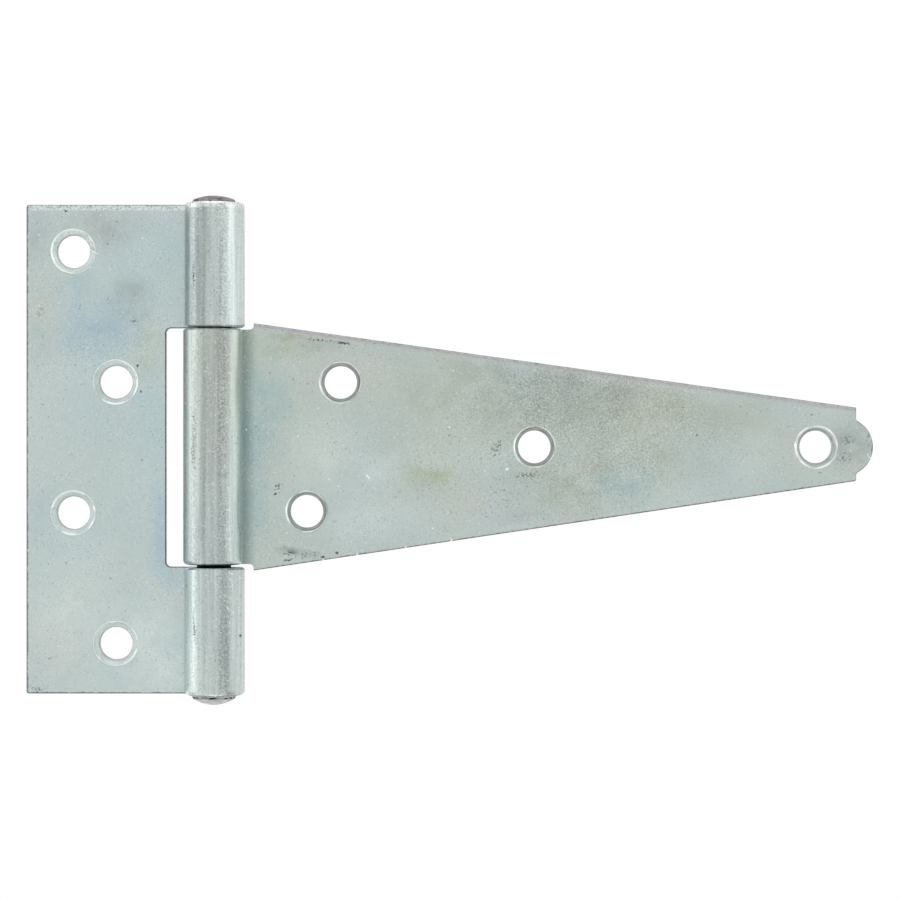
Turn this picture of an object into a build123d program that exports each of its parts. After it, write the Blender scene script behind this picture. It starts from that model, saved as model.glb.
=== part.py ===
# Tee hinge: a notched plate leaf and a tapered strap leaf, each rolled from sheet round one headed pin.
# Z runs along the pin, X along the strap, and the backs of both leaves lie on the plane Y = 0.
import os
from math import atan2, cos, hypot, sin, sqrt

from build123d import *

os.makedirs("parts", exist_ok=True)

# Sheet and pin
leaf_thickness = 3.1
pin_diameter = 7.9
pin_clearance = 0.05  # radial, between the pin and every bore

# Roll at the end of each leaf
roll_tuck = 0.5  # how far the closing side is drawn in
roll_seam = 0.15  # gap between the end of the roll and its own leaf
roll_nose = 0.6  # rounding on the outer corner of the roll's end
upper_rim = 0.4  # bevel on the upper rim of a knuckle, on the shear's sharp side
lower_rim = 1.2  # rounding on the lower rim, on the shear's soft side

# Plate leaf
plate_height = 113.25
plate_reach = 43.75  # from the pin's axis to the outer edge
plate_drop = 0.375  # how far the blank was cut off centre, below the middle of its notch and holes
notch_side_gap = 4.35  # from the strap's knuckle to the side of the notch
notch_corner = 1.1
plate_corner = 0.6
plate_hole_end = 11.175  # from the ends of a centred blank to the end holes
plate_hole_margin = 10.8  # from the outer edge to the outer column
plate_hole_stagger = 9.85  # from the outer column to the inner one

# Strap leaf
strap_length = 152.4  # from the pin's axis to the tip
strap_knuckle = 54.3
play_above = 0.35  # end play over the strap's knuckle
play_below = 0.65  # end play under it, larger because the strap sits high
shoulder_gap = 1.8  # from the plate's knuckles to the strap's shoulders
shoulder_step = 1.5  # how far each shoulder stands out from the neck
shoulder_relief = 1.0
end_rise = 9.1  # half width of the strap's end above the middle
end_drop = 7.9  # and below it, where the sheet was sheared a little deeper
nose_radius = 6.75
nose_reach = 3.9  # how far the nose stands out from the strap's end
nose_relief = 0.8
nose_round = 0.5  # rounding round the front of the nose
root_hole_rise = 14.95  # of the two root holes, one above the middle and one below
upper_root_hole = 29.0  # from the pin's axis, as are the next two
lower_root_hole = 21.15
middle_hole = 73.95
nose_hole_margin = 13.2  # from the tip to the last hole

# Screw holes
screw_hole = 7.6
plate_sink = 10.5
plate_sink_angle = 82.0
strap_sink = 9.1
strap_sink_angle = 52.0
nose_sink = 9.4
plate_lip = 0.2  # bevel on the mouth of the plate's countersinks
strap_lip = 0.45  # and of the strap's

# Edges left by the shear
plate_soft_edge = 1.35  # width of the soft edge on the face
strap_soft_edge = 1.05
soft_edge_depth = 0.4
edge_break = 0.18

# Pin heads
head_diameter = 10.2
upper_head_side = 0.65
upper_head_crown = 1.1
lower_head_side = 0.65
lower_head_crown = 1.6
head_bevel = 0.4

# Sizes that follow from the ones above
bore_radius = pin_diameter / 2 + pin_clearance
knuckle_radius = bore_radius + leaf_thickness
close_radius = knuckle_radius - roll_tuck
through = 3 * knuckle_radius
plate_top = plate_height / 2 - plate_drop
plate_bottom = plate_top - plate_height
notch_height = strap_knuckle + play_above + play_below
notch_reach = knuckle_radius + notch_side_gap
plate_hole_pitch = (plate_height - 2 * plate_hole_end) / 3  # four rows, three steps
outer_column = plate_hole_margin - plate_reach
inner_column = outer_column + plate_hole_stagger
strap_lift = (play_below - play_above) / 2
neck_reach = knuckle_radius + shoulder_gap
neck_half = strap_knuckle / 2
root_half = neck_half + shoulder_step
end_reach = strap_length - nose_reach
nose_half = sqrt(nose_radius**2 - (nose_radius - nose_reach) ** 2)
upper_taper = atan2(root_half - end_rise, end_reach - neck_reach)
lower_taper = atan2(root_half - end_drop, end_reach - neck_reach)
upper_apex = plate_top + upper_head_side + upper_head_crown
lower_apex = plate_bottom - lower_head_side - lower_head_crown
head_radius = head_diameter / 2
pin_radius = pin_diameter / 2

# Planes seen from the front, with X to the right and Z up
plate_front = Plane.XZ.offset(leaf_thickness)
strap_back = Plane((0, 0, strap_lift), (1, 0, 0), (0, -1, 0))
strap_front = strap_back.offset(leaf_thickness)


def rolled_section(side, reach):
    # Section of a leaf and its knuckle, looking down the pin.
    # side is -1 for a leaf that runs left from the pin, and 1 for one that runs right.
    close_y = close_radius - 2 * knuckle_radius
    seam_y = -leaf_thickness - roll_seam
    seam_x = side * sqrt(close_radius**2 - (seam_y - close_y) ** 2)
    share = bore_radius / hypot(seam_x, seam_y + knuckle_radius)
    inner_seam = (share * seam_x, share * (seam_y + knuckle_radius) - knuckle_radius)
    with BuildSketch() as section:
        with BuildLine():
            Line((side * reach, 0), (0, 0))
            ThreePointArc((0, 0), (-side * knuckle_radius, -knuckle_radius), (0, -2 * knuckle_radius))
            ThreePointArc((0, -2 * knuckle_radius), (side * close_radius, close_y), (seam_x, seam_y))
            Line((seam_x, seam_y), inner_seam)
            ThreePointArc(inner_seam, (0, -knuckle_radius - bore_radius), (0, -leaf_thickness))
            Polyline((0, -leaf_thickness), (side * reach, -leaf_thickness), (side * reach, 0))
        make_face()
        fillet(section.vertices().sort_by_distance((seam_x, seam_y))[0], roll_nose)
    return section.sketch


def soft_edge_waste(width):
    # What is missing beside a sheared edge, where the shear drew the face down towards the edge.
    # The face lies on x = -leaf_thickness and the edge on y = 0.
    edge_x = soft_edge_depth - leaf_thickness
    clear_x = -2 * leaf_thickness
    with BuildSketch() as waste:
        with BuildLine():
            TangentArc((-leaf_thickness, -width), (edge_x, 0), tangent=(0, 1))
            Polyline(
                (edge_x, 0), (edge_x, width), (clear_x, width), (clear_x, -width), (-leaf_thickness, -width)
            )
        make_face()
    return waste.sketch


with BuildPart() as plate:
    with BuildSketch(Plane.XY.offset(plate_bottom)):
        add(rolled_section(-1, plate_reach))
    extrude(amount=plate_height)
    rims = plate.edges().filter_by(GeomType.CIRCLE).group_by(Axis.Z)
    chamfer(rims[-1].sort_by(SortBy.RADIUS)[-1], upper_rim)
    fillet(rims[0].sort_by(SortBy.RADIUS)[-1], lower_rim)
    # Notch that the strap's knuckle turns in, with its inner corners rounded
    with BuildSketch(Plane.XZ) as notch:
        with Locations((-notch_reach, 0)):
            Rectangle(through, notch_height, align=(Align.MIN, Align.CENTER))
        fillet(notch.vertices().group_by(Axis.X)[0], notch_corner)
    extrude(amount=through, both=True, mode=Mode.SUBTRACT)
    rims = plate.edges(Select.LAST).filter_by(GeomType.CIRCLE).filter_by(Plane.XY)
    chamfer(rims.sort_by(SortBy.RADIUS)[-1], upper_rim)
    # Outline of the blank, with its outer corners rounded
    with BuildSketch(Plane.XZ) as blank:
        with Locations((-plate_reach, plate_bottom)):
            Rectangle(plate_reach + through, plate_height, align=(Align.MIN, Align.MIN))
        fillet(blank.vertices().group_by(Axis.X)[0], plate_corner)
    extrude(amount=through, both=True, mode=Mode.INTERSECT)
    # Soft edge along the top of the front, ending out of sight under the roll
    soft_start = -plate_reach - leaf_thickness
    with BuildSketch(Plane((soft_start, 0, plate_top), (0, 1, 0), (1, 0, 0))):
        add(soft_edge_waste(plate_soft_edge))
    extrude(amount=roll_nose - close_radius - soft_start, mode=Mode.SUBTRACT)
    # Slight break on the rest of the front's outline and round the notch
    sharp = plate.edges().filter_by_position(Axis.Y, -leaf_thickness, -leaf_thickness)
    uprights = sharp.filter_by(Axis.Z).sort_by(Axis.X)[:2]
    corner = sharp.filter_by(GeomType.CIRCLE).sort_by(Axis.Z)[:1]
    lowest = sharp.filter_by(Axis.X).sort_by(Axis.Z)[:1]
    chamfer(uprights + corner + lowest, edge_break)
    # Two staggered columns of countersunk screw holes
    with Locations(plate_front):
        with Locations(
            (outer_column, 1.5 * plate_hole_pitch),
            (inner_column, 0.5 * plate_hole_pitch),
            (outer_column, -0.5 * plate_hole_pitch),
            (inner_column, -1.5 * plate_hole_pitch),
        ):
            CounterSinkHole(screw_hole / 2, plate_sink / 2, counter_sink_angle=plate_sink_angle)
    chamfer(plate.edges(Select.LAST).filter_by(GeomType.CIRCLE).group_by(SortBy.RADIUS)[-1], plate_lip)
plate.part.label = "plate_leaf"
export_step(plate.part, "parts/plate_leaf.step")

with BuildPart() as strap:
    with BuildSketch(Plane.XY.offset(strap_lift - root_half)):
        add(rolled_section(1, strap_length))
    extrude(amount=2 * root_half)
    # Outline of the blank: knuckle and neck, shoulders, taper and a rounded nose
    with BuildSketch(strap_back) as outline:
        with BuildLine():
            Polyline(
                (end_reach, nose_half),
                (end_reach, end_rise),
                (neck_reach, root_half),
                (neck_reach, neck_half),
                (-through, neck_half),
                (-through, -neck_half),
                (neck_reach, -neck_half),
                (neck_reach, -root_half),
                (end_reach, -end_drop),
                (end_reach, -nose_half),
            )
            ThreePointArc((end_reach, -nose_half), (strap_length, 0), (end_reach, nose_half))
        make_face()
        for sign in (-1, 1):
            fillet(outline.vertices().sort_by_distance((end_reach, sign * nose_half))[0], nose_relief)
            fillet(outline.vertices().sort_by_distance((neck_reach, sign * neck_half))[0], shoulder_relief)
    extrude(amount=through, both=True, mode=Mode.INTERSECT)
    rims = strap.edges().filter_by(GeomType.CIRCLE).filter_by(Plane.XY).group_by(Axis.Z)
    chamfer(rims[-1].sort_by(SortBy.RADIUS)[-1], upper_rim)
    fillet(rims[0].sort_by(SortBy.RADIUS)[-1], lower_rim)
    noses = strap.edges().filter_by(GeomType.CIRCLE).filter_by(Plane.XZ).group_by(Axis.X)[-1]
    fillet(noses.sort_by(Axis.Y)[0], nose_round)
    # Soft edges along the top of the front and along the bottom of the back
    upper_way = (cos(upper_taper), 0, -sin(upper_taper))
    lower_way = (cos(lower_taper), 0, sin(lower_taper))
    with BuildSketch(Plane((neck_reach, 0, strap_lift + root_half), (0, 1, 0), upper_way)):
        add(soft_edge_waste(strap_soft_edge))
    extrude(amount=strap_length, both=True, mode=Mode.SUBTRACT)
    with BuildSketch(Plane((neck_reach, -leaf_thickness, strap_lift - root_half), (0, -1, 0), lower_way)):
        add(soft_edge_waste(strap_soft_edge))
    extrude(amount=strap_length, both=True, mode=Mode.SUBTRACT)
    # Slight break on the lower edge of the front
    face = strap.faces().filter_by(Plane.XZ).group_by(Axis.Y)[0].sort_by(SortBy.AREA)[-1]
    chamfer(face.edges().sort_by(SortBy.LENGTH)[-2:].sort_by(Axis.Z)[0], edge_break)
    # Countersunk screw holes: a pair at the root, one in the middle and one at the nose
    with Locations(strap_front):
        with Locations(
            (upper_root_hole, root_hole_rise),
            (lower_root_hole, -root_hole_rise),
            (middle_hole, 0),
        ):
            CounterSinkHole(screw_hole / 2, strap_sink / 2, counter_sink_angle=strap_sink_angle)
    chamfer(strap.edges(Select.LAST).filter_by(GeomType.CIRCLE).group_by(SortBy.RADIUS)[-1], strap_lip)
    with Locations(strap_front):
        with Locations((strap_length - nose_hole_margin, 0)):
            CounterSinkHole(screw_hole / 2, nose_sink / 2, counter_sink_angle=plate_sink_angle)
    chamfer(strap.edges(Select.LAST).filter_by(GeomType.CIRCLE).group_by(SortBy.RADIUS)[-1], strap_lip)
strap.part.label = "strap_leaf"
export_step(strap.part, "parts/strap_leaf.step")

with BuildPart() as pin:
    with BuildSketch(Plane.XZ.offset(knuckle_radius)) as half:
        with BuildLine():
            TangentArc((0, upper_apex), (head_radius, upper_apex - upper_head_crown), tangent=(1, 0))
            Polyline(
                (head_radius, upper_apex - upper_head_crown),
                (head_radius, plate_top),
                (pin_radius, plate_top),
                (pin_radius, plate_bottom),
                (head_radius, plate_bottom),
                (head_radius, lower_apex + lower_head_crown),
            )
            TangentArc((0, lower_apex), (head_radius, lower_apex + lower_head_crown), tangent=(1, 0))
            Line((0, lower_apex), (0, upper_apex))
        make_face()
        for rim_y in (upper_apex - upper_head_crown, lower_apex + lower_head_crown):
            chamfer(half.vertices().sort_by_distance((head_radius, rim_y))[0], head_bevel)
    revolve(axis=Axis((0, -knuckle_radius, 0), (0, 0, 1)))
pin.part.label = "hinge_pin"
export_step(pin.part, "parts/hinge_pin.step")
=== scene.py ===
# %% [markdown]
# # A zinc plated tee hinge
# A tee hinge is two leaves of steel sheet, each rolled round one headed pin. The whole hinge is then
# plated with zinc, and the passivating bath leaves it a cloudy grey with faint blue, olive and rose in
# it. Its solids are already true to the real one, so this lesson keeps them as they are. The work goes
# into the light and into the finish, which is built up in layers, as the real surface came about.

from math import radians

import bpy
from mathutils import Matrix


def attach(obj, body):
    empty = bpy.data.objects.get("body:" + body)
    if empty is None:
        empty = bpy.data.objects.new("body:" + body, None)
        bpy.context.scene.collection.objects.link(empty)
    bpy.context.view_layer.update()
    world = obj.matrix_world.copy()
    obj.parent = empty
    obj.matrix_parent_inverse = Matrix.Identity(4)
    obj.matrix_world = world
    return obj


MM_PER_M = 1000.0

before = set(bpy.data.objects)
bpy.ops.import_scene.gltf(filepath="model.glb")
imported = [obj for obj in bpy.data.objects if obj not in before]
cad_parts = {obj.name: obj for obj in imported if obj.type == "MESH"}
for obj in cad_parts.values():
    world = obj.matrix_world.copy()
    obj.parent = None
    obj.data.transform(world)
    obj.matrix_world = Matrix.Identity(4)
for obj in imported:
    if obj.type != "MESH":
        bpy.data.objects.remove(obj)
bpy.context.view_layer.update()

# %% [markdown]
# ## Camera
# The photograph looks square on at the front, from so far away that the leaves hardly narrow.
# A lens shift could centre the picture. A straight camera standing before the middle does the same,
# and it still works when another view turns it round the hinge.

# %% Camera square on to the front
middle_x, middle_z, stand_off = 0.05437, -0.00058, 0.72
bpy.ops.object.select_all(action="DESELECT")
bpy.ops.object.camera_add(location=(middle_x, -stand_off, middle_z), rotation=(radians(90), 0, 0))
camera = bpy.context.object
camera.name = "photo_camera"
camera.data.lens = 123.8
camera.data.sensor_width = 36
scene = bpy.context.scene
scene.camera = camera
scene.view_settings.view_transform = "Standard"
print("camera", round(stand_off * MM_PER_M), "mm in front of the backs of the leaves")

# %% [markdown]
# ## Two small helpers
# Every shader below is a chain of nodes. One function adds a node, sets it up and links it, so that a
# line of code reads like a row in the node editor. Colours are written as hex values, as a paint program
# shows them, and one function turns them into the linear light that a renderer works in.


# %% Add a node, mix a colour
def add(tree, kind, sockets=None, **settings):
    made = tree.nodes.new("ShaderNode" + kind)
    for name, value in settings.items():
        setattr(made, name, value)
    for name, value in (sockets or {}).items():
        by_name = [s for s in made.inputs if s.enabled and s.name == name]
        socket = by_name[0] if by_name else made.inputs[name]
        if isinstance(value, bpy.types.NodeSocket):
            tree.links.new(value, socket)
        else:
            socket.default_value = value
    return next((s for s in made.outputs if s.enabled), None)


def ink(hex_colour):
    shares = [int(hex_colour[i : i + 2], 16) / 255 for i in (1, 3, 5)]
    return [s / 12.92 if s <= 0.04045 else ((s + 0.055) / 1.055) ** 2.4 for s in shares] + [1]


print("mid grey in linear light:", round(ink("#808080")[0], 3))

# %% [markdown]
# ## A white studio
# Metal has no colour of its own to show but what it mirrors, so the room matters more than the lamps. The
# flat leaves mirror what is behind the camera, and the round knuckles mirror the whole room in bands. The
# room is white all over, with a soft grey zone round the camera, where its stand and its hood would be.
# That zone draws the darker stripes down the knuckles. The camera sees the same white room behind the
# hinge.

# %% The room as a world shader
scene.world = bpy.data.worlds.new("white_studio")
scene.world.use_nodes = True
room = scene.world.node_tree
room.nodes.clear()
direction = add(room, "TexCoord").node.outputs["Generated"]
ahead = add(room, "SeparateXYZ", {"Vector": direction}).node.outputs["Y"]
share = add(room, "MapRange", {"Value": ahead, "From Min": -1.0, "From Max": 1.0})
walls = add(room, "ValToRGB", {"Fac": share})
stops = walls.node.color_ramp.elements
stops[0].position, stops[0].color = 0.0, (1, 1, 1, 1)
stops[1].position, stops[1].color = 1.0, (1, 1, 1, 1)
grey_zone = ((0.035, 1.0), (0.11, 0.76), (0.2, 0.8), (0.3, 1.0))
for position, level in grey_zone:
    stops.new(position).color = (level, level, level, 1)
add(room, "OutputWorld", {"Surface": add(room, "Background", {"Color": walls, "Strength": 1.0})})
print("studio walls:", len(stops), "tones")

# %% [markdown]
# ## Soft boxes and floor
# Two tall soft boxes stand left and right. They put the bright stripes on the flanks of the knuckles and
# in the countersinks. A third hangs overhead, and gives the floor below its soft shadow.
# The floor lies well under the hinge, because a tee hinge is screwed to a gate and stands on nothing.

# %% Lamps and floor
for name, stand, turn, size, watts in (
    ("soft_box_left", (-1.0, -0.05, 0.1), (0, radians(-90), 0), (1.4, 0.5), 1.5),
    ("soft_box_right", (0.95, -0.38, 0.1), (0, radians(90), radians(-22)), (1.4, 0.5), 1.5),
    ("soft_box_top", (0.05, -0.1, 1.1), (0, 0, 0), (1.0, 0.6), 0.8),
):
    bpy.ops.object.light_add(type="AREA", location=stand, rotation=turn)
    lamp = bpy.context.object
    lamp.name = name
    lamp.data.shape = "RECTANGLE"
    lamp.data.size, lamp.data.size_y = size
    lamp.data.energy = watts
    lamp.visible_camera = False

floor_height, floor_radius = -0.25, 0.85
bpy.ops.mesh.primitive_circle_add(
    vertices=96, radius=floor_radius, fill_type="NGON", location=(0.05, 0, floor_height),
)
floor = bpy.context.object
floor.name = "studio_floor"
paper = bpy.data.materials.new("matt_white_paper")
paper.use_nodes = True
matt = paper.node_tree.nodes["Principled BSDF"].inputs
matt["Base Color"].default_value = ink("#F6F6F5")
matt["Roughness"].default_value = 0.9
floor.data.materials.append(paper)
print("floor", round(-floor_height * MM_PER_M), "mm below the middle of the pin")

# %% [markdown]
# ## The plated sheet, layer by layer
# Bright zinc on mild steel is a metal with a satin polish: metallic all the way, and rough enough to blur
# what it mirrors. Each leaf gets its own material, and both grow together, one layer to a cell.
# All patterns are placed in millimetres, so object coordinates are scaled once, here. Some of them belong
# to the front alone, and a mask for the front half of the sheet is made here too.

# %% A material for each leaf, in millimetres
layers = {}
face = -3.1
front_from, front_full = -1.3, -1.4
for leaf, title in (("plate_leaf", "zinc_plated_plate"), ("strap_leaf", "zinc_plated_strap")):
    material = bpy.data.materials.new(title)
    material.use_nodes = True
    tree = material.node_tree
    tree.nodes.clear()
    spot = add(tree, "TexCoord").node.outputs
    place = add(tree, "VectorMath", {"Vector": spot["Object"], "Scale": MM_PER_M}, operation="SCALE")
    axes = add(tree, "SeparateXYZ", {"Vector": place}).node.outputs
    facing = add(tree, "SeparateXYZ", {"Vector": spot["Normal"]}).node.outputs
    front = add(tree, "MapRange", {"Value": axes["Y"], "From Min": front_from, "From Max": front_full})
    layers[leaf] = {
        "material": material, "tree": tree, "place": place,
        "axes": axes, "facing": facing, "front": front,
    }
print("leaf materials:", [layer["material"].name for layer in layers.values()])
print("the leaves' front faces lie at y =", face, "mm")

# %% [markdown]
# ### Clouds
# The passivating film is far thinner than a hair and never even, so it drifts between a greenish and a
# bluish grey over some 20 mm. Two noises do this, one for lightness and one for tint.
# The plate leaf is the bluer and lighter one, and the strap leans to olive.

# %% Cloudy ground colour
grounds = {
    "plate_leaf": ("#B5C5C4", "#C5D1CE", "#B3C7CB", "#C4CBC5"),
    "strap_leaf": ("#B3BDB7", "#C4CEC9", "#B4C5C8", "#BDC4B9"),
}
light_mm, tint_mm, tint_seed, film_share = 17, 24, 3.7, 0.45
for leaf, (dim, light, blue, green) in grounds.items():
    tree, place = layers[leaf]["tree"], layers[leaf]["place"]
    billow = add(tree, "TexNoise", {
        "Vector": place, "Scale": 1 / light_mm, "Detail": 5.0, "Roughness": 0.55,
    })
    shade = add(tree, "MapRange", {"Value": billow, "From Min": 0.34, "From Max": 0.66})
    drift = add(tree, "TexNoise", {
        "Vector": place, "W": tint_seed, "Scale": 1 / tint_mm, "Detail": 3.0,
    }, noise_dimensions="4D")
    lean = add(tree, "MapRange", {"Value": drift, "From Min": 0.36, "From Max": 0.64})
    film = add(tree, "Mix", {"Factor": lean, "A": ink(blue), "B": ink(green)}, data_type="RGBA")
    cloud = add(tree, "Mix", {"Factor": shade, "A": ink(dim), "B": ink(light)}, data_type="RGBA")
    layers[leaf]["colour"] = add(tree, "Mix", {
        "Factor": film_share, "A": cloud, "B": film,
    }, data_type="RGBA")
    layers[leaf]["billow"] = billow
print("clouds drift over", light_mm, "and", tint_mm, "mm")

# %% [markdown]
# ### Stains
# Some patches sit where the bath drained or where a hot press touched the sheet: blue beside the rolls,
# an olive veil along the strap, rose and smoke here and there. Each is an oval spot, softened towards its
# rim and bent out of shape by a noise, so that none of them looks drawn with a compass.

# %% Stains with ragged rims
tints = {
    "blue": "#A6BCC4", "teal": "#9FB8B9", "olive": "#A6AD9F", "green": "#A9B49E", "rose": "#C6C5C1",
    "smoke": "#A3ADAD", "pale": "#CDD8D5", "warm": "#BFC4BC", "moss": "#98A390", "ash": "#8B9391",
}
stains = {
    "plate_leaf": (
        ("teal", 0.12, -10, 42, 5, 24), ("smoke", 0.5, -19.6, 34.5, 8, 7), ("blue", 0.65, -27, 27, 13, 9),
        ("blue", 0.6, -11, -21, 6, 16), ("blue", 0.2, -40, -14, 6, 11), ("pale", 0.5, -34, -40, 16, 18),
        ("rose", 0.25, -38, -47, 14, 11), ("smoke", 0.25, -26, 52, 18, 6), ("warm", 0.4, -41, 34, 7, 18),
        ("pale", 0.6, -16, -44, 11, 13), ("green", 0.3, -15, 22, 7, 9), ("blue", 0.45, -33, 37, 7, 7),
        ("pale", 0.6, -12.5, -52, 10, 7), ("smoke", 0.35, -25, 49.5, 8, 6), ("smoke", 0.35, -41, 49, 5, 8),
        ("teal", 0.3, -41, 24, 4, 7),
    ),
    "strap_leaf": (
        ("teal", 0.6, 12, 9, 8, 17), ("olive", 0.3, 54, 11, 34, 13), ("olive", 0.6, 84, 9, 27, 10),
        ("green", 0.6, 50, -7, 7, 4), ("pale", 0.35, 36, -17, 18, 8), ("rose", 0.25, 61, -13, 17, 7),
        ("olive", 0.3, 119, 6, 14, 6), ("smoke", 0.5, 147, 1, 9, 9), ("pale", 0.3, 25, -3, 10, 10),
        ("olive", 0.3, 104, -2, 20, 9), ("warm", 0.5, 33, 16, 14, 9), ("smoke", 0.35, 80, 11, 20, 9),
        ("olive", 0.45, 81, -9, 17, 9), ("teal", 0.3, 11, -17, 6, 10), ("teal", 0.5, 9, 0, 4, 26),
        ("green", 0.35, 15, 23, 8, 4), ("moss", 0.25, 8.2, 22, 2, 6), ("teal", 0.45, 95, -9, 10, 7),
        ("olive", 0.4, 107, 9, 13, 6), ("ash", 0.25, 25, 24, 7, 3), ("olive", 0.4, 89, -3, 8, 6),
        ("smoke", 0.35, 71, -16, 7, 3), ("olive", 0.35, 57, 18.5, 8, 4), ("pale", 0.35, 38, -6.4, 9, 6),
        ("ash", 0.22, 67, 17.4, 10, 2.6), ("ash", 0.26, 81, 15.5, 10, 2.6),
        ("ash", 0.26, 95, 13.5, 10, 2.6), ("moss", 0.45, 18, 25.3, 6, 1.4),
        ("ash", 0.5, 19.5, -24.9, 6, 1.6), ("ash", 0.12, 150, 0, 6, 9),
    ),
}
bend, patch_mm, through, gain = 7, 4, 5, 1.9
for leaf, spots in stains.items():
    tree, place, colour = layers[leaf]["tree"], layers[leaf]["place"], layers[leaf]["colour"]
    ragged = add(tree, "TexNoise", {"Vector": place, "Scale": 1 / bend, "Detail": 4.0})
    bent = add(tree, "VectorMath", {
        0: ragged.node.outputs["Color"], 1: (bend, 0, bend), 2: place,
    }, operation="MULTIPLY_ADD")
    patchy = add(tree, "TexNoise", {
        "Vector": place, "Scale": 1 / patch_mm, "Detail": 5.0, "Roughness": 0.6,
    })
    patchy = add(tree, "MapRange", {"Value": patchy, "From Min": 0.3, "From Max": 0.62, "To Min": 0.25})
    for tint, strength, x, z, half_width, half_height in spots:
        oval = add(tree, "Mapping", {
            "Vector": bent, "Location": (x + bend / 2, face, z + bend / 2),
            "Scale": (half_width, through, half_height),
        }, vector_type="TEXTURE")
        soft = add(tree, "TexGradient", {"Vector": oval}, gradient_type="SPHERICAL")
        much = add(tree, "Math", {0: soft, 1: patchy}, operation="MULTIPLY")
        much = add(tree, "Math", {0: much, 1: strength * gain}, operation="MULTIPLY", use_clamp=True)
        colour = add(tree, "Mix", {"Factor": much, "A": colour, "B": ink(tints[tint])}, data_type="RGBA")
    layers[leaf]["colour"] = colour
    print(leaf, "stains:", len(spots))

# %% [markdown]
# ### Rolled knuckles
# Rolling the sheet round the pin drags it over the die. That leaves streaks along the pin, and flats
# between them. Below, the flats are painted a little lighter or darker, partly as painted highlights and
# painted shade. Rolling also rubs off some of the film, so the rolls are the plainer grey. A noise
# stretched along the pin gives the streaks, kept to whatever stands forward of the flat leaf.

# %% Streaks along the pin
roll_from, roll_full, rub = -3.3, -4.3, 0.35
streak_width, streak_length = 1.1, 34
for leaf, layer in layers.items():
    tree = layer["tree"]
    forward = add(tree, "MapRange", {
        "Value": layer["axes"]["Y"], "From Min": roll_from, "From Max": roll_full,
    })
    drawn = add(tree, "Mapping", {
        "Vector": layer["place"], "Scale": (1 / streak_width, 1 / streak_width, 1 / streak_length),
    })
    streak = add(tree, "TexNoise", {"Vector": drawn, "Scale": 1.0, "Detail": 3.0, "Roughness": 0.6})
    swing = add(tree, "MapRange", {
        "Value": streak, "From Min": 0.3, "From Max": 0.7, "To Min": 0.8, "To Max": 1.16,
    })
    drag = add(tree, "Math", {0: forward, 1: rub}, operation="MULTIPLY")
    rubbed = add(tree, "Mix", {
        "Factor": drag, "A": layer["colour"], "B": ink("#C0C6C3"),
    }, data_type="RGBA")
    lined = add(tree, "VectorMath", {0: rubbed, "Scale": swing}, operation="SCALE")
    layer["colour"] = add(tree, "Mix", {
        "Factor": forward, "A": layer["colour"], "B": lined,
    }, data_type="RGBA")
    layer["forward"], layer["streak"] = forward, streak
print("streaks about", streak_width, "mm wide and", streak_length, "mm long")

# %% [markdown]
# Each knuckle met the die in its own way, so each has its own flats. A colour ramp across the pin holds
# lighter and darker bands, as shares of the colour under it: partly those flats, and partly painted
# highlights and painted shade, where the round knuckle mirrors the bright and grey parts of the room.
# A ramp stores tones up to 1, so the shares go in at two thirds, and are multiplied back behind the ramp.

# %% Flats left by the die, with painted highlights and shade
flats_and_painted_bands = {
    "plate_leaf": (
        ((27, 57), (
            (-5.6, 0.92), (-4.6, 0.7), (-3.6, 0.66), (-2.7, 0.87), (-1.8, 0.71), (-0.9, 1.02), (1.0, 0.98),
            (1.9, 1.09), (2.8, 1.34), (3.7, 0.9), (4.6, 1.13), (5.4, 1.1),
        )),
        ((-57, -27), (
            (-5.7, 1.35), (-4.7, 1.0), (-3.6, 1.08), (-2.7, 1.23), (-1.8, 1.03), (0.1, 0.97), (1.5, 0.96),
            (2.8, 0.9), (3.7, 0.61), (4.5, 0.64), (5.4, 1.09), (6.2, 1.04),
        )),
    ),
    "strap_leaf": (
        ((-27, 28), (
            (-5.8, 1.05), (-4.8, 0.9), (-3.6, 1.15), (-2.7, 1.26), (-1.8, 0.82), (-0.9, 1.0), (0.1, 0.83),
            (1.9, 0.84), (2.8, 0.92), (3.7, 0.64), (4.5, 0.96), (5.4, 1.31), (6.2, 1.06), (7.0, 1.4),
        )),
    ),
}
widest, headroom = 7.1, 1.5
for leaf, layer in layers.items():
    tree = layer["tree"]
    across = add(tree, "MapRange", {"Value": layer["axes"]["X"], "From Min": -widest, "From Max": widest})
    layer["across"] = across
    for (low, high), marks in flats_and_painted_bands[leaf]:
        ramp = add(tree, "ValToRGB", {"Fac": across})
        stops = ramp.node.color_ramp.elements
        for x, level in marks:
            stops.new((x + widest) / (2 * widest)).color = [level / headroom] * 3 + [1]
        stops.remove(stops[0])
        stops.remove(stops[-1])
        level = add(tree, "Math", {0: ramp, 1: headroom}, operation="MULTIPLY")
        # Painted highlight and shade: each band scales the colour up or down across the pin.
        toned = add(tree, "VectorMath", {0: layer["colour"], "Scale": level}, operation="SCALE")
        middle, half = (low + high) / 2, (high - low) / 2
        here = add(tree, "Math", {0: layer["axes"]["Z"], 1: middle, 2: half}, operation="COMPARE")
        here = add(tree, "Math", {0: here, 1: layer["forward"]}, operation="MULTIPLY")
        layer["colour"] = add(tree, "Mix", {
            "Factor": here, "A": layer["colour"], "B": toned,
        }, data_type="RGBA")
print("knuckles with flats:", sum(len(ends) for ends in flats_and_painted_bands.values()))
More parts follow.
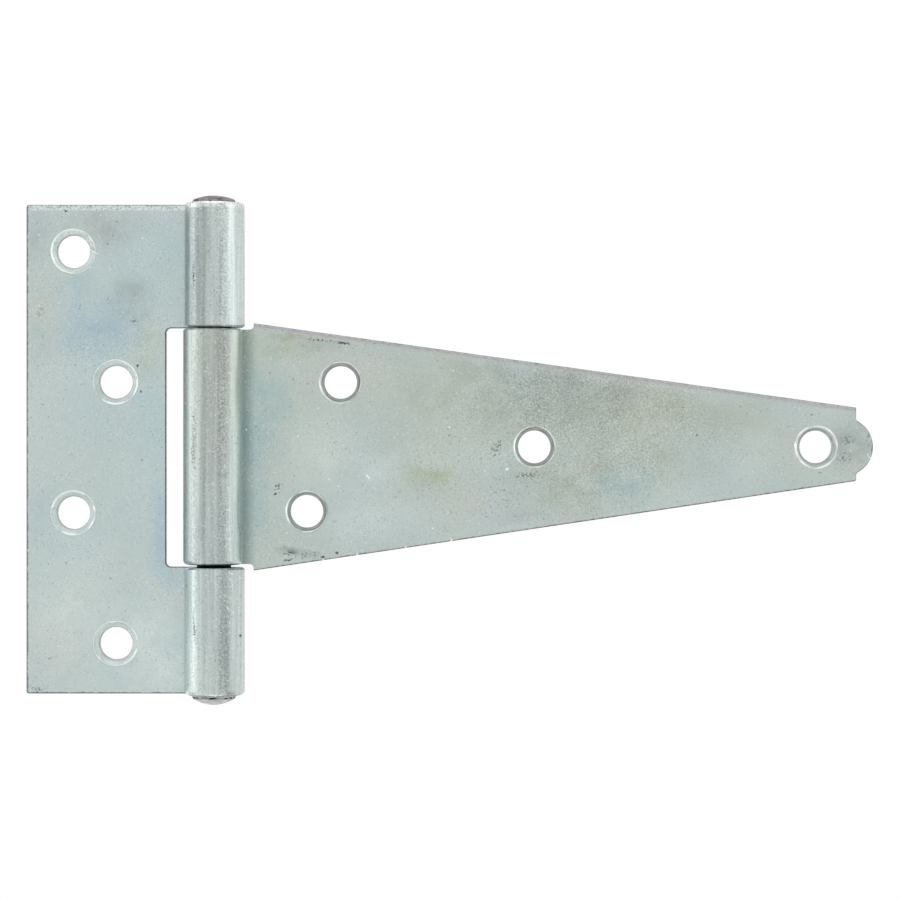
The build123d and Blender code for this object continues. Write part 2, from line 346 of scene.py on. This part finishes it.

# %% [markdown]
# Where a roll closes on its own leaf, shade falls in the corner. A grey green painted shade lies in that
# corner: a thin bar that follows it, fading outwards. On the strap it reaches out over the flat leaf.

# %% Painted shade in the corner of each roll
shaded_corners = {"plate_leaf": (-6.6, 0.9, 1.0), "strap_leaf": (7.0, 2.4, 0.6)}
corner_y, endless = -3.6, 1e5
for leaf, layer in layers.items():
    tree = layer["tree"]
    x, reach, much = shaded_corners[leaf]
    corner_shade = add(tree, "Mapping", {
        "Vector": layer["place"], "Location": (x, corner_y, 0), "Scale": (reach, reach, endless),
    }, vector_type="TEXTURE")
    painted_shade = add(tree, "TexGradient", {"Vector": corner_shade}, gradient_type="SPHERICAL")
    painted_shade = add(tree, "Math", {0: painted_shade, 1: much}, operation="MULTIPLY")
    # Painted shade: the corner is mixed towards a dark grey green.
    layer["colour"] = add(tree, "Mix", {
        "Factor": painted_shade, "A": layer["colour"], "B": ink("#627B79"),
    }, data_type="RGBA")
print("rolls close at x =", {leaf: spot[0] for leaf, spot in shaded_corners.items()})

# %% [markdown]
# ### Grain
# Under the film the zinc is a felt of tiny crystals on rolled steel. The true crystals are far too small
# for the picture, so they are drawn as 0.38 mm grains, the finest that still show. Grain lightens and
# darkens the colour, more often into dark than into light, and it raises the surface a little. It gathers
# in zones, the coarsest of them on the far half of the strap, and in pitted strips down each knuckle.

# %% Crystal grain
coarse = {"plate_leaf": (-25, 22, 20, 9, 0.06), "strap_leaf": (86, 7, 36, 20, 0.28)}
strips = (
    (-5.4, 0.03), (-4.3, 0.28), (-3.0, 0.1), (-1.8, 0.06),
    (0.8, 0.07), (2.0, 0.28), (3.3, 0.26), (4.5, 0.05),
)
grain_mm, zone_mm, zone_gain = 0.38, 9, 1.7
for leaf, layer in layers.items():
    tree, place = layer["tree"], layer["place"]
    grain = add(tree, "TexNoise", {
        "Vector": place, "Scale": 1 / grain_mm, "Detail": 2.0, "Roughness": 0.6,
    })
    zones = add(tree, "TexNoise", {"Vector": place, "Scale": 1 / zone_mm, "Detail": 3.0})
    depth = add(tree, "MapRange", {
        "Value": zones, "From Min": 0.4, "From Max": 0.66, "To Min": 0.03, "To Max": 0.1,
    })
    x, z, half_width, half_height, much = coarse[leaf]
    zone = add(tree, "Mapping", {
        "Vector": place, "Location": (x, face, z), "Scale": (half_width, through, half_height),
    }, vector_type="TEXTURE")
    zone = add(tree, "TexGradient", {"Vector": zone}, gradient_type="SPHERICAL")
    zone = add(tree, "Math", {0: zone, 1: zones}, operation="MULTIPLY")
    depth = add(tree, "Math", {0: zone, 1: much * zone_gain, 2: depth}, operation="MULTIPLY_ADD")
    pitted = add(tree, "ValToRGB", {"Fac": layer["across"]})
    stops = pitted.node.color_ramp.elements
    for x, level in strips:
        stops.new((x + widest) / (2 * widest)).color = [level] * 3 + [1]
    stops.remove(stops[0])
    stops.remove(stops[-1])
    pitted = add(tree, "Math", {0: pitted, 1: layer["forward"]}, operation="MULTIPLY")
    depth = add(tree, "Math", {0: depth, 1: pitted}, operation="MAXIMUM")
    rise = add(tree, "MapRange", {
        "Value": grain, "From Min": 0.24, "From Max": 0.62, "To Min": -1.6, "To Max": 0.7,
    })
    swing = add(tree, "Math", {0: rise, 1: depth, 2: 1.0}, operation="MULTIPLY_ADD")
    layer["colour"] = add(tree, "VectorMath", {0: layer["colour"], "Scale": swing}, operation="SCALE")
    layer["grain"] = grain
print("grain drawn at", grain_mm, "mm, pitted strips:", len(strips))

# %% [markdown]
# ### Tumbling marks and flecks
# Barrel plating knocks the parts together. Corners of other parts leave short dashes in all directions,
# and struck zinc shows as bright points, missing zinc as dark ones. A dash is the crest of a noise that
# is stretched one way and cut off high. A fleck is the middle of a Voronoi cell, in some cells only.

# %% Dashes and flecks
dashes = ((28, "#DDE6E3", 0.66), (-38, "#77827F", 0.685), (80, "#D8E0DD", 0.665), (-75, "#7C8683", 0.69))
dash_size, dash_rise, fleck_core = (1.1, 3, 0.24), 0.07, 0.4
flecks = (("#EDF2F0", 2.4, 0.11, 0.74), ("#59625F", 3.1, 0.08, 0.76))
for leaf, layer in layers.items():
    tree = layer["tree"]
    for turn, tint, crest in dashes:
        lay = add(tree, "Mapping", {
            "Vector": layer["place"], "Rotation": (0, radians(turn), 0), "Scale": dash_size,
        }, vector_type="TEXTURE")
        dash = add(tree, "TexNoise", {"Vector": lay, "Scale": 1.0, "Detail": 1.0})
        dash = add(tree, "MapRange", {
            "Value": dash, "From Min": crest, "From Max": crest + dash_rise, "To Max": 0.7,
        })
        layer["colour"] = add(tree, "Mix", {
            "Factor": dash, "A": layer["colour"], "B": ink(tint),
        }, data_type="RGBA")
    for tint, spacing, size, rarity in flecks:
        cells = add(tree, "TexVoronoi", {"Vector": layer["place"], "Scale": 1 / spacing}).node.outputs
        dot = add(tree, "MapRange", {
            "Value": cells["Distance"], "From Min": size, "From Max": size * fleck_core,
        })
        chosen = add(tree, "SeparateColor", {"Color": cells["Color"]})
        kept = add(tree, "MapRange", {
            "Value": chosen, "From Min": rarity, "From Max": 1.0, "To Max": 0.9,
        })
        fleck = add(tree, "Math", {0: dot, 1: kept}, operation="MULTIPLY")
        layer["colour"] = add(tree, "Mix", {
            "Factor": fleck, "A": layer["colour"], "B": ink(tint),
        }, data_type="RGBA")
widest_fleck = max(2 * spacing * size for tint, spacing, size, rarity in flecks)
print("dashes about", dash_size[0], "mm long, flecks at most", round(widest_fleck, 2), "mm across")

# %% [markdown]
# ### Sheared edges
# Each leaf was sheared from sheet. The shear draws one face down into a soft, pitted edge, and tears the
# side of the sheet, which stays darker and is lined across its thickness. Along the upper edges the soft
# edge is painted paler, a painted highlight where the rounded edge turns up to the light. Along the
# strap's lower edge, which faces down, it is painted darker with darker pits: painted shade on pitted
# metal. A distance measured square to each sheared line finds the soft edges.

# %% Soft edges, with painted highlight and shade
soft_edges = {
    "plate_leaf": (((0, 0, 1), 54.95, "#E2EAE7", "#8A9694", 0.95),),
    "strap_leaf": (
        ((0.1387, 0, 0.9903), 28.6, "#BFBEC0", "#98979A", 0.6),
        ((0.1470, 0, -0.9891), 29.2, "#B3B5B4", "#6F7372", 0.6),
    ),
}
pit_mm, fade = 0.45, 0.2
for leaf, layer in layers.items():
    tree = layer["tree"]
    pits = add(tree, "TexNoise", {
        "Vector": layer["place"], "Scale": 1 / pit_mm, "Detail": 2.0, "Roughness": 0.7,
    })
    pits = add(tree, "MapRange", {"Value": pits, "From Min": 0.48, "From Max": 0.64, "To Max": 0.8})
    for square, line, tint, pit, much in soft_edges[leaf]:
        out = add(tree, "VectorMath", {0: layer["place"], 1: square}, operation="DOT_PRODUCT")
        band = add(tree, "MapRange", {
            "Value": out, "From Min": line - fade, "From Max": line + fade, "To Max": much,
        })
        band = add(tree, "Math", {0: band, 1: layer["front"]}, operation="MULTIPLY")
        # Painted highlight on the upper edges, painted shade on the strap's lower edge, over the pits of
        # the torn metal.
        drawn = add(tree, "Mix", {"Factor": pits, "A": ink(tint), "B": ink(pit)}, data_type="RGBA")
        layer["colour"] = add(tree, "Mix", {
            "Factor": band, "A": layer["colour"], "B": drawn,
        }, data_type="RGBA")
print("soft edges:", {leaf: len(lines) for leaf, lines in soft_edges.items()})

# %% [markdown]
# The surface's own direction finds the torn sides: they face away from front and back. The arris, the
# narrow break between face and side, is worn darkest, and it draws a thin line round each leaf.

# %% Torn sides and worn arrises
tear_width, tear_length = 0.5, 5
skin_from, skin_full = -3.25, -3.15
for leaf, layer in layers.items():
    tree = layer["tree"]
    flat = add(tree, "Math", {0: layer["facing"]["Y"]}, operation="ABSOLUTE")
    side = add(tree, "MapRange", {"Value": flat, "From Min": 0.88, "From Max": 0.72})
    level = add(tree, "MapRange", {
        "Value": layer["axes"]["Y"], "From Min": skin_from, "From Max": skin_full,
    })
    side = add(tree, "Math", {0: side, 1: level}, operation="MULTIPLY")
    torn = add(tree, "Mapping", {
        "Vector": layer["place"], "Scale": (1 / tear_width, 1 / tear_length, 1 / tear_width),
    })
    tears = add(tree, "TexNoise", {"Vector": torn, "Scale": 1.0, "Detail": 2.0})
    depth = add(tree, "MapRange", {
        "Value": tears, "From Min": 0.35, "From Max": 0.65, "To Min": 0.7, "To Max": 1.0,
    })
    side = add(tree, "Math", {0: side, 1: depth}, operation="MULTIPLY")
    layer["colour"] = add(tree, "Mix", {
        "Factor": side, "A": layer["colour"], "B": ink("#566060"),
    }, data_type="RGBA")
    layer["tears"] = tears
print("tears are about", tear_width, "mm apart")

# %% [markdown]
# The last few tenths of a millimetre before an edge are bruised as well, in dots and short runs. The same
# square distance finds them, for the edges without a wide soft edge too.

# %% Bruised edge lines
bruised = {
    "plate_leaf": (((-1, 0, 0), 43.3, 0.36), ((0, 0, -1), 56.58, 0.32), ((0, 0, 1), 56.0, 0.18)),
    "strap_leaf": (
        ((0.1387, 0, 0.9903), 29.5, 0.2), ((0.1470, 0, -0.9891), 29.12, 0.24), ((1, 0, 0), 151.9, 0.3),
    ),
}
run_mm, bruise_from, bruise_full = 1.1, -0.1, 0.2
for leaf, layer in layers.items():
    tree = layer["tree"]
    runs = add(tree, "TexNoise", {
        "Vector": layer["place"], "Scale": 1 / run_mm, "Detail": 4.0, "Roughness": 0.7,
    })
    for square, line, amount in bruised[leaf]:
        out = add(tree, "VectorMath", {0: layer["place"], 1: square}, operation="DOT_PRODUCT")
        near = add(tree, "MapRange", {
            "Value": out, "From Min": line + bruise_from, "From Max": line + bruise_full, "To Max": amount,
        })
        much = add(tree, "Math", {0: near, 1: runs}, operation="ADD")
        much = add(tree, "MapRange", {"Value": much, "From Min": 0.66, "From Max": 0.8, "To Max": 0.8})
        much = add(tree, "Math", {0: much, 1: layer["front"]}, operation="MULTIPLY")
        layer["colour"] = add(tree, "Mix", {
            "Factor": much, "A": layer["colour"], "B": ink("#666E6C"),
        }, data_type="RGBA")
print("bruised edges:", {leaf: len(lines) for leaf, lines in bruised.items()})

# %% [markdown]
# ### Countersinks
# The screw holes were punched and then countersunk. A cutter leaves the cone cleaner than the rolled
# skin, and on the plate and at the nose the cone is painted paler: partly that cleaner metal, partly a
# painted reflection of the bright soft boxes. The strap's other three cones are steep and were pressed,
# and they are painted dark. Every lip gets a painted highlight, a near white band where the rounded edge
# would catch the light. The distance to a hole's axis draws the rings. A noise that is slow round the axis
# and quick across the cone gives the turned lines, and breaks each painted lip highlight into arcs. Where
# a cutter was at work the lip is rounded over as well, in arcs of its own, kept for the relief below.

# %% Rings round the screw holes, with painted reflections and lip highlights
# Cone colours dim, light and foot, then the lip's painted highlight. The cut cones' pale tones are partly
# a painted reflection.
cut = ("#E6F2EF", "#F8FDFC", "#C9D5D2", "#E2EBE8", 4.75, 5.24, 0.22)
pressed = ("#787F7B", "#A3AAA6", "#838B87", "#E2E8E5", 4.57, 4.93, 0.0)
spun = ("#B8C0BC", "#D8DEDB", "#C3CAC6", "#F3F6F4", 4.68, 5.06, 0.15)
holes = {
    "plate_leaf": (
        (-32.95, 45.45, 5.25, cut), (-23.1, 15.15, 5.25, cut),
        (-32.95, -15.15, 5.25, cut), (-23.1, -45.45, 5.25, cut),
    ),
    "strap_leaf": (
        (29.0, 15.1, 4.55, pressed), (21.15, -14.8, 4.55, pressed),
        (73.95, 0.15, 4.55, pressed), (139.2, 0.15, 4.7, spun),
    ),
}
foot_from, foot_full, blur, lip_fade = 4.05, 3.9, 0.05, 0.15
lines_per_mm, faces_front = 2.6, -0.3
for leaf, layer in layers.items():
    tree = layer["tree"]
    outward = add(tree, "Math", {0: layer["facing"]["Y"], 1: faces_front}, operation="LESS_THAN")
    lips = 0.0
    for x, z, mouth, (dim, light, foot, lip_highlight, lip_in, lip_out, drop) in holes[leaf]:
        bore = add(tree, "Mapping", {
            "Vector": layer["place"], "Location": (x, 0, z), "Scale": (1, endless, 1),
        }, vector_type="TEXTURE")
        away = add(tree, "VectorMath", {0: bore}, operation="LENGTH")
        round_it = add(tree, "VectorMath", {0: bore}, operation="NORMALIZE")
        turned = add(tree, "Math", {0: away, 1: lines_per_mm, 2: x + z}, operation="MULTIPLY_ADD")
        arcs = add(tree, "TexNoise", {
            "Vector": round_it, "W": turned, "Scale": 1.7, "Detail": 2.0,
        }, noise_dimensions="4D")
        arcs = add(tree, "MapRange", {"Value": arcs, "From Min": 0.36, "From Max": 0.62})
        cone = add(tree, "Mix", {"Factor": arcs, "A": ink(dim), "B": ink(light)}, data_type="RGBA")
        bottom = add(tree, "MapRange", {"Value": away, "From Min": foot_from, "From Max": foot_full})
        cone = add(tree, "Mix", {"Factor": bottom, "A": cone, "B": ink(foot)}, data_type="RGBA")
        ring = add(tree, "MapRange", {"Value": away, "From Min": mouth + blur, "From Max": mouth - blur})
        ring = add(tree, "Math", {0: ring, 1: layer["front"]}, operation="MULTIPLY")
        layer["colour"] = add(tree, "Mix", {
            "Factor": ring, "A": layer["colour"], "B": cone,
        }, data_type="RGBA")
        middle, half = (lip_in + lip_out) / 2, (lip_out - lip_in) / 2
        lip_highlight_mask = add(tree, "Math", {0: away, 1: middle, 2: half}, operation="COMPARE")
        share_shown = add(tree, "MapRange", {
            "Value": arcs, "From Min": 0.2, "From Max": 0.7, "To Min": 0.05, "To Max": 1.0,
        })
        lip_highlight_mask = add(tree, "Math", {0: lip_highlight_mask, 1: share_shown}, operation="MULTIPLY")
        lip_highlight_mask = add(tree, "Math", {0: lip_highlight_mask, 1: layer["front"]}, operation="MULTIPLY")
        # Painted highlight: a near white band on the lip, broken into arcs.
        layer["colour"] = add(tree, "Mix", {
            "Factor": lip_highlight_mask, "A": layer["colour"], "B": ink(lip_highlight),
        }, data_type="RGBA")
        spans = add(tree, "TexNoise", {
            "Vector": round_it, "W": x - z, "Scale": 1.5,
        }, noise_dimensions="4D")
        spans = add(tree, "MapRange", {
            "Value": spans, "From Min": 0.42, "From Max": 0.58, "To Max": drop,
        })
        rounded = add(tree, "MapRange", {
            "Value": away, "From Min": lip_out + lip_fade, "From Max": lip_in, "To Max": spans,
        }, interpolation_type="SMOOTHSTEP")
        lips = add(tree, "Math", {0: rounded, 1: outward, 2: lips}, operation="MULTIPLY_ADD")
    layer["lips"] = lips
print("rings:", {leaf: len(rings) for leaf, rings in holes.items()})

# %% [markdown]
# ### Scuffs
# The last layer is what happened after plating: a dark rub along the strap's top edge, another at its
# lower corner, a black scratch on each outer knuckle, pits, a sprinkle of specks over the far half of the
# strap and a few bright nicks. Two long bright strokes along the front of the plate knuckles' top and
# bottom rims are painted highlights. Each is an oval, most of them small or thin, and a fine noise decides
# how much of it shows. A low fill leaves only specks, a high one nearly the whole stroke.

# %% Scuffs, scratches, nicks and two painted rim highlights
black, grey, speck, bright = "#3F4443", "#747D7A", "#8B938E", "#F2F5F4"
scuffs = {
    "plate_leaf": (
        (black, -4.2, -12.6, 39.4, 0.4, 4.8, 0, 0.26), (black, -4.1, -12.6, -41.0, 0.42, 5.2, 4, 0.24),
        (black, -34.6, face, 54.75, 0.55, 0.4, 0, 0.5), (black, -18.0, face, 19.0, 0.45, 0.5, 0, 0.5),
        (black, -17.2, face, 12.9, 0.35, 0.4, 0, 0.4), (grey, -38, face, -48.6, 2.4, 0.5, 5, 0.16),
        (black, 6.4, -10.5, -43.2, 0.45, 0.45, 0, 0.45), (grey, -40.6, face, 31.5, 1.4, 1.4, 0, 0.14),
        (grey, -18.8, face, 29.3, 2.2, 1.2, 20, 0.12), (grey, -41, face, -55.9, 3.0, 0.5, 0, 0.2),
        # Painted highlights along the top rim of the upper knuckle and the bottom rim of the lower
        # knuckle.
        (bright, 0.5, -13.6, 56.0, 6.5, 0.5, 0, 0.26), (bright, 1.0, -13.6, -56.6, 6.0, 0.4, 0, 0.2),
    ),
    "strap_leaf": (
        (black, 29.5, face, 24.2, 2.2, 0.5, -8, 0.36), (black, 26.0, face, 24.75, 2.2, 0.45, -8, 0.26),
        (black, 23.0, face, 25.0, 2.4, 0.5, -6, 0.16), (black, 17.2, face, -24.3, 2.0, 0.8, 8, 0.26),
        (black, 16.7, face, -26.2, 1.4, 0.5, 8, 0.24), (black, 24.9, face, -25.4, 0.6, 0.35, 8, 0.5),
        (black, 28.2, face, -24.4, 0.5, 0.4, 0, 0.5), (black, 21.0, face, -25.0, 4.5, 0.8, 8, 0.12),
        (black, 13.9, face, -10.8, 0.5, 0.5, 0, 0.5), (black, 14.6, face, -9.2, 1.4, 1.6, 0, 0.12),
        (grey, 72.5, face, 15.6, 6, 2.6, -8, 0.04), (speck, 86, face, -8, 28, 10, 8, 0.0),
        (speck, 84, face, 10, 30, 9, -8, 0.0), (speck, 60, face, -4, 18, 14, 0, -0.02),
        (grey, 65, face, -0.5, 1.4, 3.0, -20, 0.16), (grey, 72.5, face, -6.4, 4.0, 1.0, 0, 0.2),
        (grey, 146.2, face, 1.6, 2.4, 1.7, 10, 0.13), (grey, 145.6, face, -2.2, 2.0, 2.0, -20, 0.13),
        (grey, 140.2, face, -5.9, 0.9, 0.25, 0, 0.3), (grey, 151.2, -3.3, 1.6, 0.7, 2.2, 0, 0.16),
        (grey, -4.3, -12.7, 1.0, 0.9, 9, 0, 0.17), (grey, 2.1, -13.9, 6.0, 1.0, 15, 0, 0.1),
        (bright, 35.4, face, -6.8, 0.9, 0.3, -45, 0.5), (bright, 67.6, face, -5.0, 0.5, 0.4, 30, 0.5),
        (bright, 54.2, face, 4.7, 0.3, 0.3, 0, 0.5), (bright, 151.6, face, -2.6, 0.35, 2.0, 25, 0.22),
        (bright, 25.1, face, -25.95, 0.45, 0.3, 8, 0.45), (bright, 32.9, face, -24.75, 0.45, 0.3, 8, 0.45),
        (bright, 44.0, face, -23.1, 0.4, 0.25, 8, 0.4), (bright, 54.7, face, -21.4, 0.4, 0.3, 8, 0.45),
    ),
}
crumb_mm, stroke_depth = 0.42, 3
for leaf, marks in scuffs.items():
    layer = layers[leaf]
    tree = layer["tree"]
    crumb = add(tree, "TexNoise", {
        "Vector": layer["place"], "Scale": 1 / crumb_mm, "Detail": 2.0, "Roughness": 0.6,
    })
    for tint, x, y, z, half_length, half_height, tilt, fill in marks:
        stroke = add(tree, "Mapping", {
            "Vector": layer["place"], "Location": (x, y, z), "Rotation": (0, radians(-tilt), 0),
            "Scale": (half_length, stroke_depth, half_height),
        }, vector_type="TEXTURE")
        core = add(tree, "TexGradient", {"Vector": stroke}, gradient_type="SPHERICAL")
        eaten = add(tree, "Math", {0: core, 1: fill, 2: crumb}, operation="MULTIPLY_ADD")
        share_shown = add(tree, "MapRange", {"Value": eaten, "From Min": 0.6, "From Max": 0.72, "To Max": 0.85})
        inside = add(tree, "MapRange", {"Value": core, "From Min": 0.02, "From Max": 0.2})
        share_shown = add(tree, "Math", {0: share_shown, 1: inside}, operation="MULTIPLY")
        layer["colour"] = add(tree, "Mix", {
            "Factor": share_shown, "A": layer["colour"], "B": ink(tint),
        }, data_type="RGBA")
    print(leaf, "scuffs:", len(marks))

# %% [markdown]
# ### Closing the leaf shaders
# Now the colour meets the metal. Satin zinc has a roughness near 0.3, and it drifts with the clouds.
# Grain, streaks and the torn sides also raise the surface by some hundredths of a millimetre, through a
# bump node. A second one, on top of the first, rounds the lips of the cut countersinks by about two
# tenths.

# %% Metal, roughness and relief
skin_relief, lip_relief = 0.00006, 0.001
for leaf, layer in layers.items():
    tree = layer["tree"]
    polish = add(tree, "MapRange", {
        "Value": layer["billow"], "From Min": 0.3, "From Max": 0.7, "To Min": 0.27, "To Max": 0.37,
    })
    relief = add(tree, "Math", {0: layer["streak"], 1: 0.8, 2: layer["grain"]}, operation="MULTIPLY_ADD")
    relief = add(tree, "Math", {0: layer["tears"], 1: 0.4, 2: relief}, operation="MULTIPLY_ADD")
    bump = add(tree, "Bump", {"Height": relief, "Strength": 0.35, "Distance": skin_relief})
    bump = add(tree, "Bump", {
        "Height": layer["lips"], "Strength": 1.0, "Distance": lip_relief, "Normal": bump,
    })
    metal = add(tree, "BsdfPrincipled", {
        "Base Color": layer["colour"], "Metallic": 1.0, "Roughness": polish, "Normal": bump,
    })
    add(tree, "OutputMaterial", {"Surface": metal})
    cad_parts[leaf].data.materials.clear()
    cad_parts[leaf].data.materials.append(layer["material"])
    print(leaf, "shader nodes:", len(tree.nodes))

# %% [markdown]
# ## The pin
# The pin is a steel rivet. Its shank shows only as a dark line between the knuckles, where shade falls,
# and it is painted near black: painted shade. The upper head was peened over: dull, purple grey and lined
# by the hammer. The lower one is a made head, lighter, with a broken black line of painted shade round its
# foot, where it meets the knuckle. Height along the pin tells them apart.

# %% Peened pin steel, with painted shade in the gaps
dent_width, dent_height, dent_depth = 2.2, 0.7, 0.0003
foot_shade_height, half_foot_shade, half_shank = -57.5, 0.25, 55.0
pin_material = bpy.data.materials.new("peened_pin_steel")
pin_material.use_nodes = True
tree = pin_material.node_tree
tree.nodes.clear()
spot = add(tree, "TexCoord").node.outputs["Object"]
place = add(tree, "VectorMath", {"Vector": spot, "Scale": MM_PER_M}, operation="SCALE")
along = add(tree, "SeparateXYZ", {"Vector": place}).node.outputs["Z"]
hammered = add(tree, "Mapping", {
    "Vector": place, "Scale": (1 / dent_width, 1 / dent_width, 1 / dent_height),
})
dents = add(tree, "TexNoise", {"Vector": hammered, "Scale": 1.0, "Detail": 4.0, "Roughness": 0.65})
blow = add(tree, "MapRange", {"Value": dents, "From Min": 0.36, "From Max": 0.64})
dull = add(tree, "Mix", {"Factor": blow, "A": ink("#4A4648"), "B": ink("#A7A2A5")}, data_type="RGBA")
clean = add(tree, "Mix", {"Factor": blow, "A": ink("#A5A7A5"), "B": ink("#D9DCDA")}, data_type="RGBA")
upper = add(tree, "MapRange", {"Value": along, "From Min": -1.0, "From Max": 1.0})
skin = add(tree, "Mix", {"Factor": upper, "A": clean, "B": dull}, data_type="RGBA")
# Painted shade: a broken line round the lower head's foot, and the shank, which shows only between the
# knuckles.
line = add(tree, "Math", {0: along, 1: foot_shade_height, 2: half_foot_shade}, operation="COMPARE")
broken = add(tree, "MapRange", {
    "Value": dents, "From Min": 0.44, "From Max": 0.5, "To Min": 0.15, "To Max": 1.0,
})
painted_gap_shade = add(tree, "Math", {0: line, 1: broken}, operation="MULTIPLY")
shank_shade = add(tree, "Math", {0: along, 1: 0.0, 2: half_shank}, operation="COMPARE")
painted_gap_shade = add(tree, "Math", {0: painted_gap_shade, 1: shank_shade}, operation="MAXIMUM")
skin = add(tree, "Mix", {"Factor": painted_gap_shade, "A": skin, "B": ink("#161817")}, data_type="RGBA")
polish = add(tree, "MapRange", {
    "Value": dents, "From Min": 0.3, "From Max": 0.7, "To Min": 0.4, "To Max": 0.6,
})
bump = add(tree, "Bump", {"Height": dents, "Strength": 0.7, "Distance": dent_depth})
metal = add(tree, "BsdfPrincipled", {
    "Base Color": skin, "Metallic": 1.0, "Roughness": polish, "Normal": bump,
})
add(tree, "OutputMaterial", {"Surface": metal})
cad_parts["hinge_pin"].data.materials.clear()
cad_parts["hinge_pin"].data.materials.append(pin_material)
print("pin shader nodes:", len(tree.nodes))

# %% [markdown]
# ## A burr
# Where the cutter left the plate's upper outer countersink, it folded a thin curl of metal over the lip.
# It stands off the face, so it is a piece of its own. A curve with a bevel could make it. Here a small
# disc is drawn along the curl's path, step by step. It swells at first and narrows towards the tip, and
# the result is one closed skin.

# %% Draw the curl along its path
curl = (
    (-29.0, -1.75, 46.3), (-28.8, -2.3, 45.9), (-28.5, -2.85, 45.5),
    (-28.0, -3.2, 45.2), (-27.5, -3.3, 44.98), (-27.0, -3.2, 44.78),
)
swell = (1.25, 1.1, 0.9, 0.75, 0.4)
wire_radius, start_turn = 0.00016, 135
bpy.ops.object.select_all(action="DESELECT")
bpy.ops.mesh.primitive_circle_add(
    vertices=10, radius=wire_radius, fill_type="NGON", rotation=(0, radians(start_turn), 0),
    location=[v / MM_PER_M for v in curl[0]],
)
burr = bpy.context.object
burr.name = "countersink_burr"
bpy.ops.object.mode_set(mode="EDIT")
bpy.ops.mesh.select_all(action="SELECT")
for start, end, share in zip(curl, curl[1:], swell):
    step = [(b - a) / MM_PER_M for a, b in zip(start, end)]
    bpy.ops.mesh.extrude_region_move(TRANSFORM_OT_translate={"value": step})
    bpy.ops.transform.resize(value=(share, share, share), center_override=[v / MM_PER_M for v in end])
bpy.ops.mesh.select_all(action="SELECT")
bpy.ops.mesh.normals_make_consistent(inside=False)
bpy.ops.object.mode_set(mode="OBJECT")
bpy.ops.object.transform_apply(location=True, rotation=True, scale=True)
bpy.ops.object.shade_smooth_by_angle(angle=radians(60))
print("burr:", len(burr.data.polygons), "faces,", [round(v * MM_PER_M, 2) for v in burr.dimensions], "mm")

# %% [markdown]
# The curl is bare where it was torn, so it is the brightest metal on the hinge, with fine lines across
# it.

# %% Bright torn zinc
line_mm, line_depth = 0.25, 0.00004
torn_material = bpy.data.materials.new("torn_bright_zinc")
torn_material.use_nodes = True
tree = torn_material.node_tree
tree.nodes.clear()
place = add(tree, "VectorMath", {
    "Vector": add(tree, "TexCoord").node.outputs["Object"], "Scale": MM_PER_M,
}, operation="SCALE")
lines = add(tree, "TexNoise", {"Vector": place, "Scale": 1 / line_mm, "Detail": 3.0})
skin = add(tree, "Mix", {"Factor": lines, "A": ink("#DDE3E0"), "B": ink("#FCFDFC")}, data_type="RGBA")
bump = add(tree, "Bump", {"Height": lines, "Strength": 0.4, "Distance": line_depth})
metal = add(tree, "BsdfPrincipled", {
    "Base Color": skin, "Metallic": 1.0, "Roughness": 0.3, "Normal": bump,
})
add(tree, "OutputMaterial", {"Surface": metal})
burr.data.materials.append(torn_material)
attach(burr, "plate")
print("burr rides on the plate")
